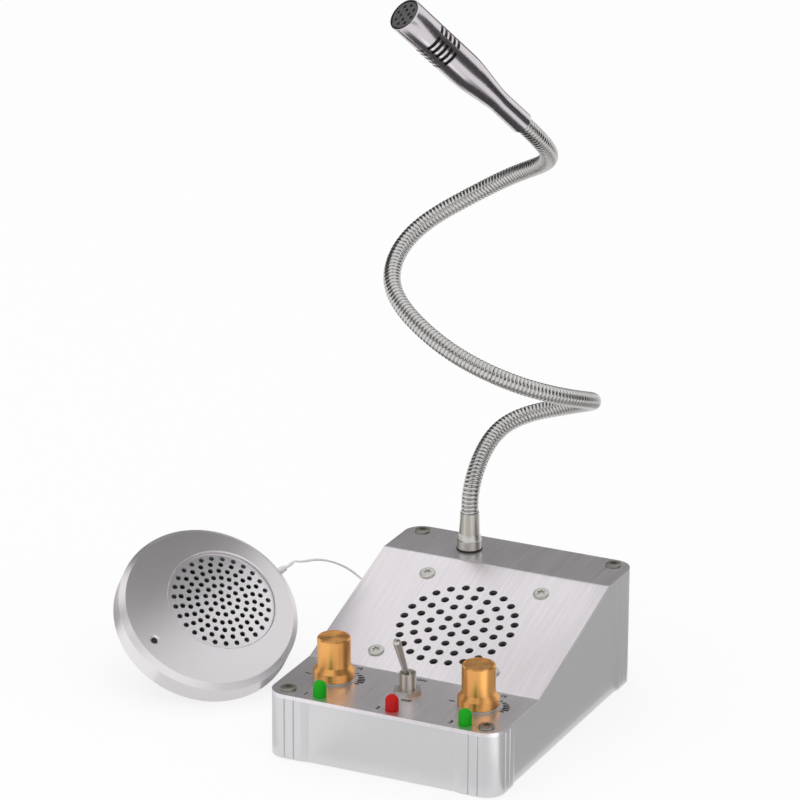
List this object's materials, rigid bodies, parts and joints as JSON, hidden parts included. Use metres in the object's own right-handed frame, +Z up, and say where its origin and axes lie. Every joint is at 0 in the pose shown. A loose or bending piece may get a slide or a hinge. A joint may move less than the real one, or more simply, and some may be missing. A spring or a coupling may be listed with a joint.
{
  "type": "teller window intercom",
  "caption": "Desk intercom for a service window: wedge housing with speaker grille, volume knobs, toggle and signal lamps, gooseneck microphone, and a round outer speaker on a thin cord.",
  "frame": {"origin": "on the desk, under the middle of the desk unit's housing", "axes": "+Z up, -Y towards the teller who sits at the controls, +X to that teller's right"},
  "size_m": [0.2302, 0.2288, 0.3545],
  "materials": {
    "anodised_walls": "satin anodised",
    "brushed_plate": "brushed, clear anodised",
    "dark_sheet": "matt powder coat",
    "black_rubber": "matt",
    "dark_screw": "dark polished",
    "bright_screw": "polished",
    "black_cloth": "woven",
    "black_paper": "matt paper cone",
    "magnet_steel": "zinc plated",
    "green_board": "solder resist",
    "black_parts": "matt",
    "sink_black": "black anodised",
    "brass": "plain",
    "orange_anodised": "orange anodised, turned",
    "chrome": "polished",
    "green_lamp": "clear tinted",
    "red_lamp": "clear tinted",
    "neck_chrome": "polished, ringed",
    "mic_chrome": "dark polished",
    "mic_gold": "plated",
    "silver_paint": "satin silver",
    "grille_silver": "satin silver",
    "black_plastic": "moulded",
    "foam_tape": "closed foam with adhesive",
    "clear_cord": "clear twin insulation over tinned copper"
  },
  "bodies": {
    "desk_unit": {"housing": "anodised_walls", "top_plate": "brushed_plate", "bottom_plate": "dark_sheet", "anti_slip_pad": "black_rubber", "top_screws": "dark_screw", "bottom_screws": "dark_screw", "dust_cloth": "black_cloth", "speaker_basket": "dark_sheet", "speaker_cone": "black_paper", "speaker_magnet": "magnet_steel", "speaker_screws": "bright_screw", "speaker_nuts": "bright_screw", "amplifier_board": "green_board", "board_parts": "black_parts", "heat_sink": "sink_black", "board_standoffs": "brass", "board_screws": "bright_screw", "inside_volume_pot": "magnet_steel", "outside_volume_pot": "magnet_steel", "pot_nuts": "bright_screw", "switch_body": "chrome", "switch_nut": "chrome", "inside_lamp": "green_lamp", "power_lamp": "red_lamp", "outside_lamp": "green_lamp", "neck_washer": "black_rubber", "neck_foot": "chrome", "neck_nut": "bright_screw", "neck_root": "neck_chrome", "outer_shell": "silver_paint", "outer_grille": "grille_silver", "outer_back": "black_plastic", "outer_screws": "dark_screw", "outer_tape": "foam_tape", "outer_speaker": "dark_sheet", "outer_cone": "black_paper", "outer_mic": "black_rubber", "outer_gland": "black_rubber", "speaker_socket": "black_plastic", "power_socket": "black_plastic", "socket_nuts": "bright_screw", "outer_cord": "clear_cord", "cord_coil": "clear_cord", "cord_plug": "black_plastic"},
    "neck_lower": {"neck_lower": "neck_chrome"},
    "neck_middle": {"neck_middle": "neck_chrome"},
    "neck_upper": {"neck_upper": "neck_chrome"},
    "microphone": {"neck_tip": "neck_chrome", "mic_housing": "mic_chrome", "mic_grille": "bright_screw", "mic_capsule": "mic_gold", "mic_sleeve": "black_rubber"},
    "inside_knob": {"inside_shaft": "magnet_steel", "inside_knob": "orange_anodised"},
    "outside_knob": {"outside_shaft": "magnet_steel", "outside_knob": "orange_anodised"},
    "switch_lever": {"switch_lever": "chrome"}
  },
  "joints": [
    {"name": "neck_base_bend", "type": "hinge", "parent": "desk_unit", "child": "neck_lower", "pos_m": [-0.02109, 0.0661, 0.09209], "axis": [0.9999, 0.008, 0.0144], "range_deg": [-20, 20]},
    {"name": "neck_middle_bend", "type": "hinge", "parent": "neck_lower", "child": "neck_middle", "pos_m": [0.03051, 0.09313, 0.13543], "axis": [-0.1418, 0.3618, 0.9214], "range_deg": [-20, 20]},
    {"name": "neck_upper_bend", "type": "hinge", "parent": "neck_middle", "child": "neck_upper", "pos_m": [-0.05897, 0.05598, 0.19083], "axis": [0.8283, 0.4014, 0.3909], "range_deg": [-20, 20]},
    {"name": "microphone_tilt", "type": "hinge", "parent": "neck_upper", "child": "microphone", "pos_m": [0.01364, 0.05851, 0.27741], "axis": [0.9702, -0.2425, 0], "range_deg": [-25, 25]},
    {"name": "inside_volume_turn", "type": "hinge", "parent": "desk_unit", "child": "inside_knob", "pos_m": [-0.0376, -0.05334, 0.033], "axis": [0, 0, -1], "range_deg": [0, 300]},
    {"name": "outside_volume_turn", "type": "hinge", "parent": "desk_unit", "child": "outside_knob", "pos_m": [0.0376, -0.05334, 0.033], "axis": [0, 0, -1], "range_deg": [0, 300]},
    {"name": "power_toggle", "type": "hinge", "parent": "desk_unit", "child": "switch_lever", "pos_m": [0.001, -0.05334, 0.0404], "axis": [-1, 0, 0], "range_deg": [0, 56]}
  ]
}
